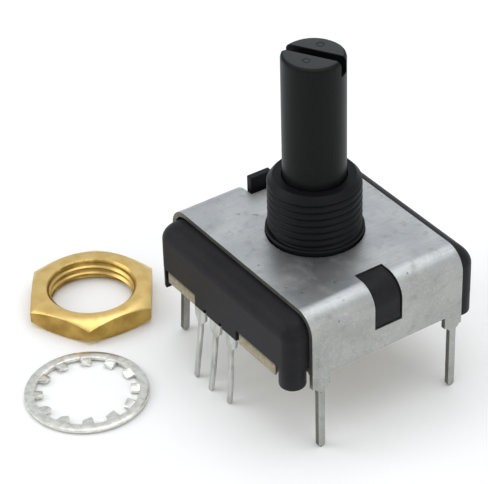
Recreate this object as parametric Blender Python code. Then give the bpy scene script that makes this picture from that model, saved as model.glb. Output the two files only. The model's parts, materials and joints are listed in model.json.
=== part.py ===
"""Panel rotary encoder with a circuit-board bracket, its mounting nut and its lock washer.

+Z runs along the shaft towards the knob. z = 0 is the plane of the feet, where the encoder sits on
its circuit board, and x = y = 0 is the shaft's axis. The terminals are on the -Y side.
"""

import math

import bmesh
import bpy
from mathutils import Matrix, Vector

MM = 0.001
# How far a cutter runs past what it cuts.
OVERRUN = 1 * MM

# Bracket: one strap of sheet metal bent down at both X ends.
SHEET = 0.5 * MM
PANEL_Z = 7.95 * MM
BRACKET_HALF_X = 11.39 * MM
BRACKET_HALF_Y = 8.6 * MM
BEND_OUTER = 2.2 * MM
WALL_BOTTOM_Z = 1.25 * MM
TAB_INNER_Y = 6.65 * MM
LEG_Y = 7.62 * MM
LEG_WIDTH = 0.72 * MM
LEG_SHOULDER = 0.45 * MM
TIP_Z = -7.15 * MM
LEG_ROOT_Z = 0.3 * MM
BUSHING_HOLE_R = 4.73 * MM
WINDOW_TOP_X = 8.2 * MM
WINDOW_HALF_Y = 1.55 * MM
WINDOW_SIDE_Z = PANEL_Z - 4.33 * MM

# Housing: moulded in one with the threaded bushing, the anti-rotation lug and the corner feet.
HOUSING_HALF = 10.8 * MM
HOUSING_TOP_Z = PANEL_Z - SHEET - 0.1 * MM
HOUSING_RIM_Z = 2.25 * MM
HOUSING_CORNER_R = 1.3 * MM
HOUSING_EDGE_R = 1.9 * MM
HOUSING_LEAST_CORNER_R = 0.25 * MM
FOOT_XY = HOUSING_HALF - HOUSING_CORNER_R
SKIN_STEP = 0.02 * MM
FOOT_R = HOUSING_CORNER_R - SKIN_STEP
ROOF_THICK = 1.1 * MM
ROOF_UNDERSIDE_Z = HOUSING_TOP_Z - ROOF_THICK
CAVITY_HALF = 9.2 * MM
CAVITY_CORNER_R = 3.0 * MM
CORNER_POST_X = -9.65 * MM
APRON_X = (-4.6 * MM, 2.3 * MM)
APRON_BOTTOM_Z = 0.95 * MM
APRON_BACK_Y = -10.35 * MM
APRON_NOTCH_WIDTH = 0.42 * MM
APRON_NOTCH_HEIGHT = 0.5 * MM
WINDOW_PAD_GAP = 0.12 * MM
BUSHING_TOP_Z = PANEL_Z + 6.2 * MM
BUSHING_R = 4.4 * MM
BUSHING_NECK_R = 4.42 * MM
BUSHING_BEAD_R = 4.68 * MM
BUSHING_BEAD_Z = (PANEL_Z + 0.27 * MM, PANEL_Z + 0.57 * MM)
BUSHING_BEAD_ROUND = 0.1 * MM
BUSHING_CHAMFER = 0.45 * MM
BUSHING_BORE_R = 3.1 * MM
LUG_X = -9.05 * MM
LUG_SIZE_X = 0.75 * MM
LUG_SIZE_Y = 2.5 * MM
LUG_TOP_Z = PANEL_Z + 1.42 * MM

# Shaft and what turns with it.
SHAFT_R = 3.0 * MM
SHAFT_TOP_Z = PANEL_Z + 19.05 * MM
SHAFT_CHAMFER = 0.45 * MM
SLOT_WIDTH = 1.1 * MM
SLOT_DEPTH = 1.6 * MM
SLOT_ANGLE = math.radians(30)
SEAL_Z = 11.0 * MM
SEAL_GROOVE_R = 2.2 * MM
SEAL_GROOVE_HALF = 0.6 * MM
SEAL_SECTION_R = 0.38 * MM
SEAL_STANDOFF = 0.08 * MM
FLANGE_R = 4.5 * MM
FLANGE_Z = (4.85 * MM, 5.75 * MM)
THRUST_WASHER_Z = (5.85 * MM, 6.15 * MM)
THRUST_WASHER_GAP = 0.15 * MM
DRIVE_R = 2.2 * MM
DRIVE_FLAT = 1.6 * MM
FIT_GAP = 0.1 * MM
WHEEL_Z = (3.35 * MM, 4.75 * MM)
WHEEL_R = 7.15 * MM
WHEEL_NOTCH = 0.25 * MM
DETENTS = 24
WIPER_Z = (3.05 * MM, 3.25 * MM)
WIPER_RING_R = (3.2 * MM, 4.2 * MM)
WIPER_SPOKE_X = 3.3 * MM
WIPER_SPOKE_Y = (-0.1 * MM, 0.9 * MM)
WIPER_ARM_HALF = 0.25 * MM
WIPER_ARM_BEND_Y = -0.6 * MM
WIPER_SHOE_HALF = 0.2 * MM
# Where a shoe stands, across and along its arm, as shares of its track's radius: a 3-4-5 triangle.
WIPER_SHOE_ACROSS = 0.8
WIPER_SHOE_ALONG = 0.6
WIPER_TOUCH_GAP = 0.12 * MM
WIPER_SHOE_RISE = 0.1 * MM
CLIP_Z = (2.62 * MM, 2.9 * MM)
CLIP_GROOVE_R = 1.55 * MM
CLIP_GAP = 0.06 * MM
CLIP_R = 2.9 * MM
PIVOT_R = 1.4 * MM
PIVOT_END_Z = 0.1 * MM
PIVOT_GAP = 0.15 * MM

# Detent spring: a leaf bowed along the -X wall of the cavity.
SPRING_THICK = 0.22 * MM
SPRING_BACK_X = -CAVITY_HALF + 0.3 * MM
SPRING_NOSE_X = -(WHEEL_R + WHEEL_NOTCH) - FIT_GAP
SPRING_NOSE_R = 0.5 * MM
SPRING_BOW_X = SPRING_NOSE_X - 0.75 * MM
SPRING_BOW_Y = 1.2 * MM
SPRING_REACH = 5.6 * MM
SPRING_FLAT_END = 0.8 * MM
SPRING_END_STEP = 0.1 * MM

# Terminal board, its printed tracks, the terminals and their rivets.
BOARD_Z = (0.75 * MM, 2.0 * MM)
BOARD_HALF = 10.25 * MM
BOARD_FOOT_NOTCH_R = 1.55 * MM
BOARD_NOTCH = (-9.55 * MM, 8.1 * MM)
BOARD_FRONT_Y = -10.6 * MM
BOARD_APRON_GAP = 0.1 * MM
TRACK_THICK = 0.1 * MM
PRINT_GAP = 0.02 * MM
LEAD_HALF_WIDTH = 0.3 * MM
LEAD_OVERLAP = 0.15 * MM
PAD_OVER_HEAD = 0.05 * MM
TOOTH_EASE_DEGREES = 0.5
# Each track: inner and outer radius, band left whole behind its teeth, start and stop in degrees, rivet.
TRACKS = {
    "common_track": (3.6 * MM, 4.5 * MM, 0.0, -60, 290, 1),
    "track_a": (5.0 * MM, 6.1 * MM, 0.35 * MM, -99, 241, 2),
    "track_b": (6.6 * MM, 7.7 * MM, 0.35 * MM, -72, 249, 0),
}
TERMINAL_PITCH = 2.54 * MM
TERMINAL_MIDDLE_X = -1.57 * MM
TERMINAL_Y = -10.25 * MM
TERMINAL_THICK = 0.3 * MM
TERMINAL_SHOULDER = 1.8 * MM
TERMINAL_WIDTH = 0.55 * MM
TERMINAL_SHOULDER_Z = -0.35 * MM
TERMINAL_TAPER_Z = -0.95 * MM
RIVET_Y = -8.4 * MM
RIVET_R = 0.4 * MM
RIVET_HEAD_R = 0.65 * MM
RIVET_HEAD_HIGH = 0.22 * MM
RIVET_HEAD_TAPER = 0.7
STACK_GAP = 0.05 * MM
TAB_PAST_RIVET = 0.9 * MM

# Mounting hardware, laid on the same surface as the tips of the legs.
NUT_CENTRE = (-20.1 * MM, -13.2 * MM)
NUT_ACROSS_FLATS = 12.0 * MM
NUT_THICK = 2.3 * MM
NUT_BORE_R = 4.1 * MM
NUT_TURN = math.radians(26.4)
NUT_CHAMFER_DEGREES = 30
NUT_FACE_INSET = 0.1 * MM
NUT_BARREL_OVER = 0.2 * MM
WASHER_CENTRE = (-8.1 * MM, -21.2 * MM)
WASHER_R = 6.0 * MM
WASHER_BAND = 0.95 * MM
WASHER_THICK = 0.45 * MM
WASHER_TOOTH = 0.8 * MM
WASHER_TEETH = 12
# Shares of one pitch: where the gap between two teeth ends, and where a tooth's tip starts and ends.
WASHER_GAP_END = 0.5
WASHER_TIP = (0.56, 0.94)

BLACK_PLASTIC = ((0.033, 0.032, 0.037), 0.55, 0.0)
SHAFT_PLASTIC = ((0.022, 0.023, 0.023), 0.45, 0.0)
NATURAL_PLASTIC = ((0.72, 0.70, 0.64), 0.5, 0.0)
TINNED_STEEL = ((0.58, 0.59, 0.57), 0.35, 1.0)
SPRING_STEEL = ((0.50, 0.50, 0.49), 0.3, 1.0)
SILVERED_COPPER = ((0.80, 0.72, 0.60), 0.3, 1.0)
PHENOLIC_BOARD = ((0.42, 0.33, 0.20), 0.6, 0.0)
PRINTED_SILVER = ((0.62, 0.61, 0.58), 0.4, 1.0)
RUBBER = ((0.02, 0.02, 0.02), 0.8, 0.0)
BRASS = ((0.72, 0.50, 0.18), 0.3, 1.0)
BRIGHT_STEEL = ((0.76, 0.75, 0.71), 0.25, 1.0)


def clear_scene():
    for obj in list(bpy.data.objects):
        bpy.data.objects.remove(obj)


def material(name, finish):
    colour, roughness, metallic = finish
    made = bpy.data.materials.new(name)
    made.use_nodes = True
    shader = made.node_tree.nodes["Principled BSDF"]
    shader.inputs["Base Color"].default_value = (*colour, 1.0)
    shader.inputs["Roughness"].default_value = roughness
    shader.inputs["Metallic"].default_value = metallic
    return made


def new_object(name, bm, finish=None):
    """An object of the bmesh, shaded smooth with sharp edges. Without a finish it is a hidden tool."""
    bmesh.ops.recalc_face_normals(bm, faces=bm.faces)
    mesh = bpy.data.meshes.new(name)
    bm.to_mesh(mesh)
    bm.free()
    mesh.shade_smooth()
    mesh.set_sharp_from_angle(angle=math.radians(35))
    obj = bpy.data.objects.new(name, mesh)
    bpy.context.scene.collection.objects.link(obj)
    if finish is None:
        obj.hide_render = True
        obj.display_type = "WIRE"
    else:
        mesh.materials.append(material(name, finish))
    return obj


def boolean(obj, tool, operation="DIFFERENCE"):
    modifier = obj.modifiers.new(tool.name, "BOOLEAN")
    modifier.operation = operation
    modifier.object = tool


def box(low, high):
    bm = bmesh.new()
    size = Vector(high) - Vector(low)
    middle = (Vector(high) + Vector(low)) / 2
    bmesh.ops.create_cube(bm, size=1, matrix=Matrix.Translation(middle) @ Matrix.Diagonal((*size, 1)))
    return bm


def turned(profile, steps=64):
    """A solid of revolution about Z. The profile's (radius, z) points close on themselves or on the axis."""
    bm = bmesh.new()
    verts = [bm.verts.new((radius, 0, z)) for radius, z in profile]
    edges = [bm.edges.new(pair) for pair in zip(verts, verts[1:])]
    if profile[0][0] > 0:
        edges.append(bm.edges.new((verts[-1], verts[0])))
    bmesh.ops.spin(
        bm, geom=verts + edges, axis=(0, 0, 1), cent=(0, 0, 0), angle=math.tau, steps=steps, use_merge=True
    )
    bmesh.ops.remove_doubles(bm, verts=bm.verts, dist=1e-6)
    return bm


def cylinder(radius, z_low, z_high, centre=(0, 0), steps=48):
    bm = turned([(0, z_low), (radius, z_low), (radius, z_high), (0, z_high)], steps)
    bmesh.ops.translate(bm, verts=bm.verts, vec=(*centre, 0))
    return bm


def tube(inner, outer, z_low, z_high, steps=64):
    return turned([(inner, z_low), (outer, z_low), (outer, z_high), (inner, z_high)], steps)


def prism(outline, depth):
    """A closed outline of 3D points, extruded by depth."""
    bm = bmesh.new()
    face = bm.faces.new([bm.verts.new(point) for point in outline])
    grown = bmesh.ops.extrude_face_region(bm, geom=[face])
    moved = [item for item in grown["geom"] if isinstance(item, bmesh.types.BMVert)]
    bmesh.ops.translate(bm, verts=moved, vec=depth)
    return bm


def flat_prism(outline, z_low, z_high):
    return prism([(x, y, z_low) for x, y in outline], (0, 0, z_high - z_low))


def arc(centre, radius, start, stop, steps):
    """Points of an arc, from start to stop in degrees, both included."""
    angles = [math.radians(start + (stop - start) * i / steps) for i in range(steps + 1)]
    return [(centre[0] + radius * math.cos(a), centre[1] + radius * math.sin(a)) for a in angles]


def blade_outline(shoulders, half):
    """The (across, z) outline of a blade, from its shoulders down to a round tip."""
    left = [(-across, z) for across, z in shoulders]
    right = [(across, z) for across, z in reversed(shoulders)]
    return left + arc((0, TIP_Z + half), half, 180, 360, 6) + right


def rounded_square(half, radius, steps=6):
    inner = half - radius
    points = []
    for turn, (sx, sy) in enumerate(((1, 1), (-1, 1), (-1, -1), (1, -1))):
        points += arc((sx * inner, sy * inner), radius, 90 * turn, 90 * turn + 90, steps)
    return points


def build_bracket():
    inner_x = BRACKET_HALF_X - SHEET
    bend_x = BRACKET_HALF_X - BEND_OUTER
    bend_z = PANEL_Z - BEND_OUTER
    bend_inner = BEND_OUTER - SHEET
    outside = arc((bend_x, bend_z), BEND_OUTER, 0, 90, 8)
    inside = arc((bend_x, bend_z), bend_inner, 0, 90, 8)
    right = [(BRACKET_HALF_X, 0), *outside]
    under = [(inner_x, 0), *inside]
    mirrored_right = [(-x, z) for x, z in reversed(right)]
    mirrored_under = [(-x, z) for x, z in under]
    section = right + mirrored_right + mirrored_under + under[::-1]
    outline = [(x, -BRACKET_HALF_Y, z) for x, z in section]
    strap = prism(outline, (0, 2 * BRACKET_HALF_Y, 0))
    bracket = new_object("bracket", strap, TINNED_STEEL)

    wide = BRACKET_HALF_X + OVERRUN
    between_tabs = box((-wide, -TAB_INNER_Y, -OVERRUN), (wide, TAB_INNER_Y, WALL_BOTTOM_Z))
    boolean(bracket, new_object("cut_between_tabs", between_tabs))
    hole = cylinder(BUSHING_HOLE_R, PANEL_Z - 3 * SHEET, PANEL_Z + SHEET, steps=64)
    boolean(bracket, new_object("cut_bushing_hole", hole))
    for side, name in ((1, "right"), (-1, "left")):
        x_low, x_high = sorted((side * WINDOW_TOP_X, side * wide))
        window = box((x_low, -WINDOW_HALF_Y, WINDOW_SIDE_Z), (x_high, WINDOW_HALF_Y, PANEL_Z + OVERRUN))
        boolean(bracket, new_object(f"cut_{name}_window", window))
        for end, corner in ((1, "rear"), (-1, "front")):
            half = LEG_WIDTH / 2
            root = half + LEG_SHOULDER
            outline = blade_outline([(root, LEG_ROOT_Z), (root, 0), (half, -LEG_SHOULDER)], half)
            wall_x = inner_x if side > 0 else -BRACKET_HALF_X
            points = [(wall_x, end * LEG_Y + y, z) for y, z in outline]
            leg = new_object(f"join_{name}_{corner}_leg", prism(points, (SHEET, 0, 0)))
            boolean(bracket, leg, "UNION")


def build_housing():
    """The rounded box is lofted through rounded squares that shrink towards its top edge."""
    steps = 6
    levels = [(0.0, HOUSING_RIM_Z)]
    for i in range(steps + 1):
        turn = math.pi / 2 * i / steps
        inset = HOUSING_EDGE_R * (1 - math.cos(turn))
        levels.append((inset, HOUSING_TOP_Z - HOUSING_EDGE_R * (1 - math.sin(turn))))
    bm = bmesh.new()
    rings = []
    for inset, z in levels:
        radius = max(HOUSING_CORNER_R - inset, HOUSING_LEAST_CORNER_R)
        ring = [bm.verts.new((x, y, z)) for x, y in rounded_square(HOUSING_HALF - inset, radius)]
        rings.append(ring)
    for low, high in zip(rings, rings[1:]):
        for i in range(len(low)):
            j = (i + 1) % len(low)
            bm.faces.new((low[i], low[j], high[j], high[i]))
    bm.faces.new(rings[0])
    bm.faces.new(rings[-1])
    housing = new_object("housing", bm, BLACK_PLASTIC)

    root_z = ROOF_UNDERSIDE_Z + ROOF_THICK / 4
    bead_low, bead_high = BUSHING_BEAD_Z
    bushing = turned(
        [
            (0, root_z),
            (BUSHING_NECK_R, root_z),
            (BUSHING_NECK_R, bead_low),
            (BUSHING_BEAD_R, bead_low + BUSHING_BEAD_ROUND),
            (BUSHING_BEAD_R, bead_high - BUSHING_BEAD_ROUND),
            (BUSHING_R, bead_high),
            (BUSHING_R, BUSHING_TOP_Z - BUSHING_CHAMFER),
            (BUSHING_R - BUSHING_CHAMFER, BUSHING_TOP_Z),
            (0, BUSHING_TOP_Z),
        ]
    )
    boolean(housing, new_object("join_bushing", bushing), "UNION")
    lug = box(
        (LUG_X - LUG_SIZE_X / 2, -LUG_SIZE_Y / 2, HOUSING_TOP_Z - ROOF_THICK),
        (LUG_X + LUG_SIZE_X / 2, LUG_SIZE_Y / 2, LUG_TOP_Z),
    )
    boolean(housing, new_object("join_lug", lug), "UNION")
    boolean(housing, new_object("join_window_pad", window_pad()), "UNION")
    cavity = flat_prism(rounded_square(CAVITY_HALF, CAVITY_CORNER_R), 0, ROOF_UNDERSIDE_Z)
    boolean(housing, new_object("cut_cavity", cavity))
    bore = cylinder(BUSHING_BORE_R, ROOF_UNDERSIDE_Z - ROOF_THICK, BUSHING_TOP_Z + ROOF_THICK, steps=64)
    boolean(housing, new_object("cut_bore", bore))
    build_feet(housing)
    build_apron(housing)


def window_pad():
    """A pad on the housing's shoulder that nearly fills the bracket's right-hand window."""
    bend = (BRACKET_HALF_X - BEND_OUTER, PANEL_Z - BEND_OUTER)
    outside = arc(bend, BEND_OUTER - WINDOW_PAD_GAP, 0, 90, 8)
    low_z = WINDOW_SIDE_Z + WINDOW_PAD_GAP
    middle_x = WINDOW_TOP_X + WINDOW_PAD_GAP
    top_z = PANEL_Z - WINDOW_PAD_GAP
    section = [(BRACKET_HALF_X - WINDOW_PAD_GAP, low_z), *outside, (middle_x, top_z)]
    section += [(middle_x, bend[1]), (bend[0], low_z)]
    half = WINDOW_HALF_Y - WINDOW_PAD_GAP
    return prism([(x, -half, z) for x, z in section], (0, 2 * half, 0))


def build_feet(housing):
    """Round feet at the right-hand corners, and a post at each left-hand corner beside the board."""
    for end, corner in ((-1, "front"), (1, "rear")):
        foot = cylinder(FOOT_R, 0, HOUSING_RIM_Z + FOOT_R, (FOOT_XY, end * FOOT_XY), 32)
        boolean(housing, new_object(f"join_foot_{corner}", foot), "UNION")
        post = cylinder(FOOT_R, 0, HOUSING_RIM_Z + FOOT_R, (-FOOT_XY, end * FOOT_XY), 32)
        post_object = new_object(f"join_post_{corner}", post)
        room = (0, 2 * HOUSING_HALF, HOUSING_RIM_Z + 3 * FOOT_R)
        beside = box((CORNER_POST_X, -2 * HOUSING_HALF, -FOOT_R), room)
        boolean(post_object, new_object(f"trim_post_{corner}", beside))
        boolean(housing, post_object, "UNION")


def build_apron(housing):
    """A skirt below the -Y wall that covers the terminals' bends, with a notch between each two."""
    front_y = -HOUSING_HALF + SKIN_STEP
    high = (APRON_X[1], APRON_BACK_Y, HOUSING_RIM_Z + ROOF_THICK)
    apron = box((APRON_X[0], front_y, APRON_BOTTOM_Z), high)
    boolean(housing, new_object("join_apron", apron), "UNION")
    for index in range(2):
        middle = terminal_x(index) + TERMINAL_PITCH / 2
        half = APRON_NOTCH_WIDTH / 2
        notch_high = (middle + half, APRON_BACK_Y + OVERRUN / 2, APRON_BOTTOM_Z + APRON_NOTCH_HEIGHT)
        notch = box((middle - half, front_y - OVERRUN / 2, 0), notch_high)
        boolean(housing, new_object(f"cut_apron_notch_{index}", notch))


def build_shaft():
    tip = SHAFT_R - SHAFT_CHAMFER
    profile = [
        (0, PIVOT_END_Z),
        (PIVOT_R, PIVOT_END_Z),
        (PIVOT_R, CLIP_Z[0] - FIT_GAP),
        (CLIP_GROOVE_R, CLIP_Z[0] - FIT_GAP),
        (CLIP_GROOVE_R, CLIP_Z[1] + FIT_GAP),
        (DRIVE_R, CLIP_Z[1] + FIT_GAP),
        (DRIVE_R, FLANGE_Z[0]),
        (FLANGE_R, FLANGE_Z[0]),
        (FLANGE_R, FLANGE_Z[1]),
        (SHAFT_R, FLANGE_Z[1]),
        (SHAFT_R, SEAL_Z - SEAL_GROOVE_HALF),
        (SEAL_GROOVE_R, SEAL_Z - SEAL_GROOVE_HALF),
        (SEAL_GROOVE_R, SEAL_Z + SEAL_GROOVE_HALF),
        (SHAFT_R, SEAL_Z + SEAL_GROOVE_HALF),
        (SHAFT_R, SHAFT_TOP_Z - SHAFT_CHAMFER),
        (tip, SHAFT_TOP_Z),
        (0, SHAFT_TOP_Z),
    ]
    shaft = new_object("shaft", turned(profile), SHAFT_PLASTIC)
    slot_low = (-2 * SHAFT_R, -SLOT_WIDTH / 2, SHAFT_TOP_Z - SLOT_DEPTH)
    slot = box(slot_low, (2 * SHAFT_R, SLOT_WIDTH / 2, SHAFT_TOP_Z + OVERRUN))
    bmesh.ops.rotate(slot, verts=slot.verts, matrix=Matrix.Rotation(SLOT_ANGLE, 3, "Z"))
    boolean(shaft, new_object("cut_slot", slot))
    drive_flat = box((-2 * DRIVE_R, DRIVE_FLAT, CLIP_Z[1] + FIT_GAP), (2 * DRIVE_R, 2 * DRIVE_R, FLANGE_Z[0]))
    boolean(shaft, new_object("cut_drive_flat", drive_flat))


def build_shaft_rings():
    """The seal and the clip sit in the shaft's grooves, and the thrust washer on its flange."""
    middle = (SEAL_GROOVE_R + SEAL_SECTION_R + SEAL_STANDOFF, SEAL_Z)
    section = arc(middle, SEAL_SECTION_R, 0, 330, 11)
    new_object("shaft_seal", turned(section), RUBBER)
    washer = tube(SHAFT_R + THRUST_WASHER_GAP, FLANGE_R, *THRUST_WASHER_Z)
    new_object("thrust_washer", washer, NATURAL_PLASTIC)
    clip = tube(CLIP_GROOVE_R + CLIP_GAP, CLIP_R, *CLIP_Z, steps=48)
    new_object("retaining_clip", clip, SPRING_STEEL)


def drive_hole(radius, flat, z_low, z_high):
    """A D-shaped cutter for what the shaft drives."""
    start = math.degrees(math.asin(flat / radius))
    return flat_prism(arc((0, 0), radius, 180 - start, 360 + start, 40), z_low, z_high)


def build_detent_wheel():
    points = DETENTS * 8
    outline = []
    for i in range(points):
        turn = math.tau * i / points
        radius = WHEEL_R - WHEEL_NOTCH * math.cos(DETENTS * turn)
        outline.append((radius * math.cos(turn), radius * math.sin(turn)))
    wheel = new_object("detent_wheel", flat_prism(outline, *WHEEL_Z), NATURAL_PLASTIC)
    hole = drive_hole(DRIVE_R + FIT_GAP, DRIVE_FLAT + FIT_GAP, WHEEL_Z[0] - OVERRUN, WHEEL_Z[1] + OVERRUN)
    boolean(wheel, new_object("cut_wheel_drive_hole", hole))


def build_contact_wiper():
    """A sheet ring under the wheel, with one sprung arm down to each track."""
    low, top = WIPER_Z
    thick = top - low
    wiper = new_object("contact_wiper", tube(*WIPER_RING_R, *WIPER_Z), SILVERED_COPPER)
    touch_z = BOARD_Z[1] + TRACK_THICK + WIPER_TOUCH_GAP
    for index, (inside, outside, *_rest) in enumerate(TRACKS.values()):
        track_r = (inside + outside) / 2
        left = WIPER_SHOE_ACROSS * track_r - WIPER_ARM_HALF
        heel_y = -WIPER_SHOE_ALONG * track_r + WIPER_SHOE_HALF
        toe_y = heel_y - 2 * WIPER_SHOE_HALF
        side = [
            (0, low),
            (0, top),
            (WIPER_ARM_BEND_Y, top),
            (heel_y, touch_z + thick + WIPER_SHOE_RISE),
            (toe_y, touch_z + thick),
            (toe_y, touch_z),
            (heel_y, touch_z),
            (WIPER_ARM_BEND_Y, low),
        ]
        turn = Matrix.Rotation(math.radians(90 + 120 * index), 3, "Z")
        blade = prism([(left, y, z) for y, z in side], (2 * WIPER_ARM_HALF, 0, 0))
        bmesh.ops.rotate(blade, verts=blade.verts, matrix=turn)
        boolean(wiper, new_object(f"join_wiper_arm_{index}", blade), "UNION")
        spoke_high = (left + 2 * WIPER_ARM_HALF, WIPER_SPOKE_Y[1], top)
        spoke = box((WIPER_SPOKE_X, WIPER_SPOKE_Y[0], low), spoke_high)
        bmesh.ops.rotate(spoke, verts=spoke.verts, matrix=turn)
        boolean(wiper, new_object(f"join_wiper_spoke_{index}", spoke), "UNION")


def build_detent_spring():
    """A leaf bowed along the -X wall. It can't flex here, so its nose stands clear of the wheel's crests."""
    end_x = SPRING_BACK_X + SPRING_END_STEP
    end_y = SPRING_REACH - SPRING_FLAT_END
    line = [(SPRING_BACK_X, -SPRING_REACH), (end_x, -end_y), (SPRING_BOW_X, -SPRING_BOW_Y)]
    line += arc((SPRING_NOSE_X - SPRING_NOSE_R, 0), SPRING_NOSE_R, -75, 75, 6)
    line += [(x, -y) for x, y in reversed(line[:3])]
    back = [(x - SPRING_THICK, y) for x, y in reversed(line)]
    spring = flat_prism(line + back, WHEEL_Z[0] + FIT_GAP, WHEEL_Z[1] - FIT_GAP)
    new_object("detent_spring", spring, SPRING_STEEL)


def terminal_x(index):
    return TERMINAL_MIDDLE_X + (index - 1) * TERMINAL_PITCH


def foot_notch(edge_y):
    """The board's outline round a right-hand foot, from the edge at -edge_y to the right-hand edge."""
    reach = math.degrees(math.asin((edge_y - FOOT_XY) / BOARD_FOOT_NOTCH_R))
    side = math.degrees(math.acos((BOARD_HALF - FOOT_XY) / BOARD_FOOT_NOTCH_R))
    return arc((FOOT_XY, -FOOT_XY), BOARD_FOOT_NOTCH_R, 180 + reach, side, 8)


def build_board():
    """Notched round the housing's posts on the left, its feet on the right and the apron in front."""
    notch_x, notch_y = BOARD_NOTCH
    apron_left, apron_right = APRON_X[0] - BOARD_APRON_GAP, APRON_X[1] + BOARD_APRON_GAP
    outline = [
        (-BOARD_HALF, notch_y),
        (-BOARD_HALF, -notch_y),
        (notch_x, -notch_y),
        (notch_x, BOARD_FRONT_Y),
        (apron_left, BOARD_FRONT_Y),
        (apron_left, -BOARD_HALF),
        (apron_right, -BOARD_HALF),
        (apron_right, BOARD_FRONT_Y),
        *foot_notch(-BOARD_FRONT_Y),
        *[(x, -y) for x, y in reversed(foot_notch(BOARD_HALF))],
        (notch_x, BOARD_HALF),
        (notch_x, notch_y),
    ]
    board = new_object("terminal_board", flat_prism(outline, *BOARD_Z), PHENOLIC_BOARD)
    low, high = BOARD_Z[0] - OVERRUN, BOARD_Z[1] + OVERRUN
    boolean(board, new_object("cut_pivot_hole", cylinder(PIVOT_R + PIVOT_GAP, low, high)))
    for index in range(3):
        hole = cylinder(RIVET_R + FIT_GAP, low, high, (terminal_x(index), RIVET_Y), 24)
        boolean(board, new_object(f"cut_rivet_hole_{index}", hole))


def coded_ring(inside, outside, band, start, stop):
    """The outline of one printed track, an open ring. With a band it has one tooth for each detent."""
    if not band:
        return arc((0, 0), outside, start, stop, 60) + arc((0, 0), inside, stop, start, 60)
    pitch = 360 / DETENTS
    count = int((stop - start) // pitch)
    outer = []
    for tooth in range(count):
        left = start + tooth * pitch
        outer += arc((0, 0), outside, left, left + pitch / 2, 2)
        gap = (left + pitch / 2 + TOOTH_EASE_DEGREES, left + pitch - TOOTH_EASE_DEGREES)
        outer += arc((0, 0), inside + band, *gap, 2)
    last = start + count * pitch
    return outer + arc((0, 0), inside, last, start, 60)


def build_tracks():
    """Each track has a lead to its own rivet, through the gaps of the tracks outside it."""
    low = BOARD_Z[1] + PRINT_GAP
    top = low + TRACK_THICK
    for name, (inside, outside, band, start, stop, rivet) in TRACKS.items():
        ring = flat_prism(coded_ring(inside, outside, band, start, stop), low, top)
        track = new_object(name, ring, PRINTED_SILVER)
        x = terminal_x(rivet)
        ring_y = -math.sqrt((inside + LEAD_OVERLAP) ** 2 - x * x)
        lead = box((x - LEAD_HALF_WIDTH, RIVET_Y, low), (x + LEAD_HALF_WIDTH, ring_y, top))
        boolean(track, new_object(f"join_{name}_lead", lead), "UNION")
        pad = cylinder(RIVET_HEAD_R + PAD_OVER_HEAD, low, top, (x, RIVET_Y), 24)
        boolean(track, new_object(f"join_{name}_pad", pad), "UNION")
        hole = cylinder(RIVET_R + FIT_GAP, low - OVERRUN, top + OVERRUN, (x, RIVET_Y), 24)
        boolean(track, new_object(f"cut_{name}_rivet_hole", hole))


def build_terminals():
    """Each terminal is one stamping: a tab riveted under the board, then a shouldered blade bent down."""
    tab_top = BOARD_Z[0] - STACK_GAP
    tab_low = tab_top - TERMINAL_THICK
    half = TERMINAL_SHOULDER / 2
    thin = TERMINAL_WIDTH / 2
    shoulders = [(half, tab_top), (0.9 * half, TERMINAL_SHOULDER_Z), (thin, TERMINAL_TAPER_Z)]
    outline = blade_outline(shoulders, thin)
    for index, letter in enumerate(("b", "common", "a")):
        name = f"terminal_{letter}"
        x = terminal_x(index)
        blade = [(x + across, TERMINAL_Y - TERMINAL_THICK, z) for across, z in outline]
        terminal = new_object(name, prism(blade, (0, TERMINAL_THICK, 0)), TINNED_STEEL)
        tab_high = (x + half, RIVET_Y + TAB_PAST_RIVET, tab_top)
        tab = box((x - half, TERMINAL_Y - TERMINAL_THICK / 3, tab_low), tab_high)
        boolean(terminal, new_object(f"join_{name}_tab", tab), "UNION")
        hole = cylinder(RIVET_R + FIT_GAP, tab_low - OVERRUN, tab_top + OVERRUN, (x, RIVET_Y), 24)
        boolean(terminal, new_object(f"cut_{name}_hole", hole))
        build_rivet(f"rivet_{letter}", x, tab_low - STACK_GAP)


def build_rivet(name, x, lower):
    """A rivet from below a terminal's tab to above its track's pad."""
    upper = BOARD_Z[1] + PRINT_GAP + TRACK_THICK + STACK_GAP
    crown_r = RIVET_HEAD_R * RIVET_HEAD_TAPER
    profile = [
        (0, lower - RIVET_HEAD_HIGH),
        (crown_r, lower - RIVET_HEAD_HIGH),
        (RIVET_HEAD_R, lower),
        (RIVET_R, lower),
        (RIVET_R, upper),
        (RIVET_HEAD_R, upper),
        (crown_r, upper + RIVET_HEAD_HIGH),
        (0, upper + RIVET_HEAD_HIGH),
    ]
    rivet = turned(profile, 24)
    bmesh.ops.translate(rivet, verts=rivet.verts, vec=(x, RIVET_Y, 0))
    new_object(name, rivet, BRIGHT_STEEL)


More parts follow.
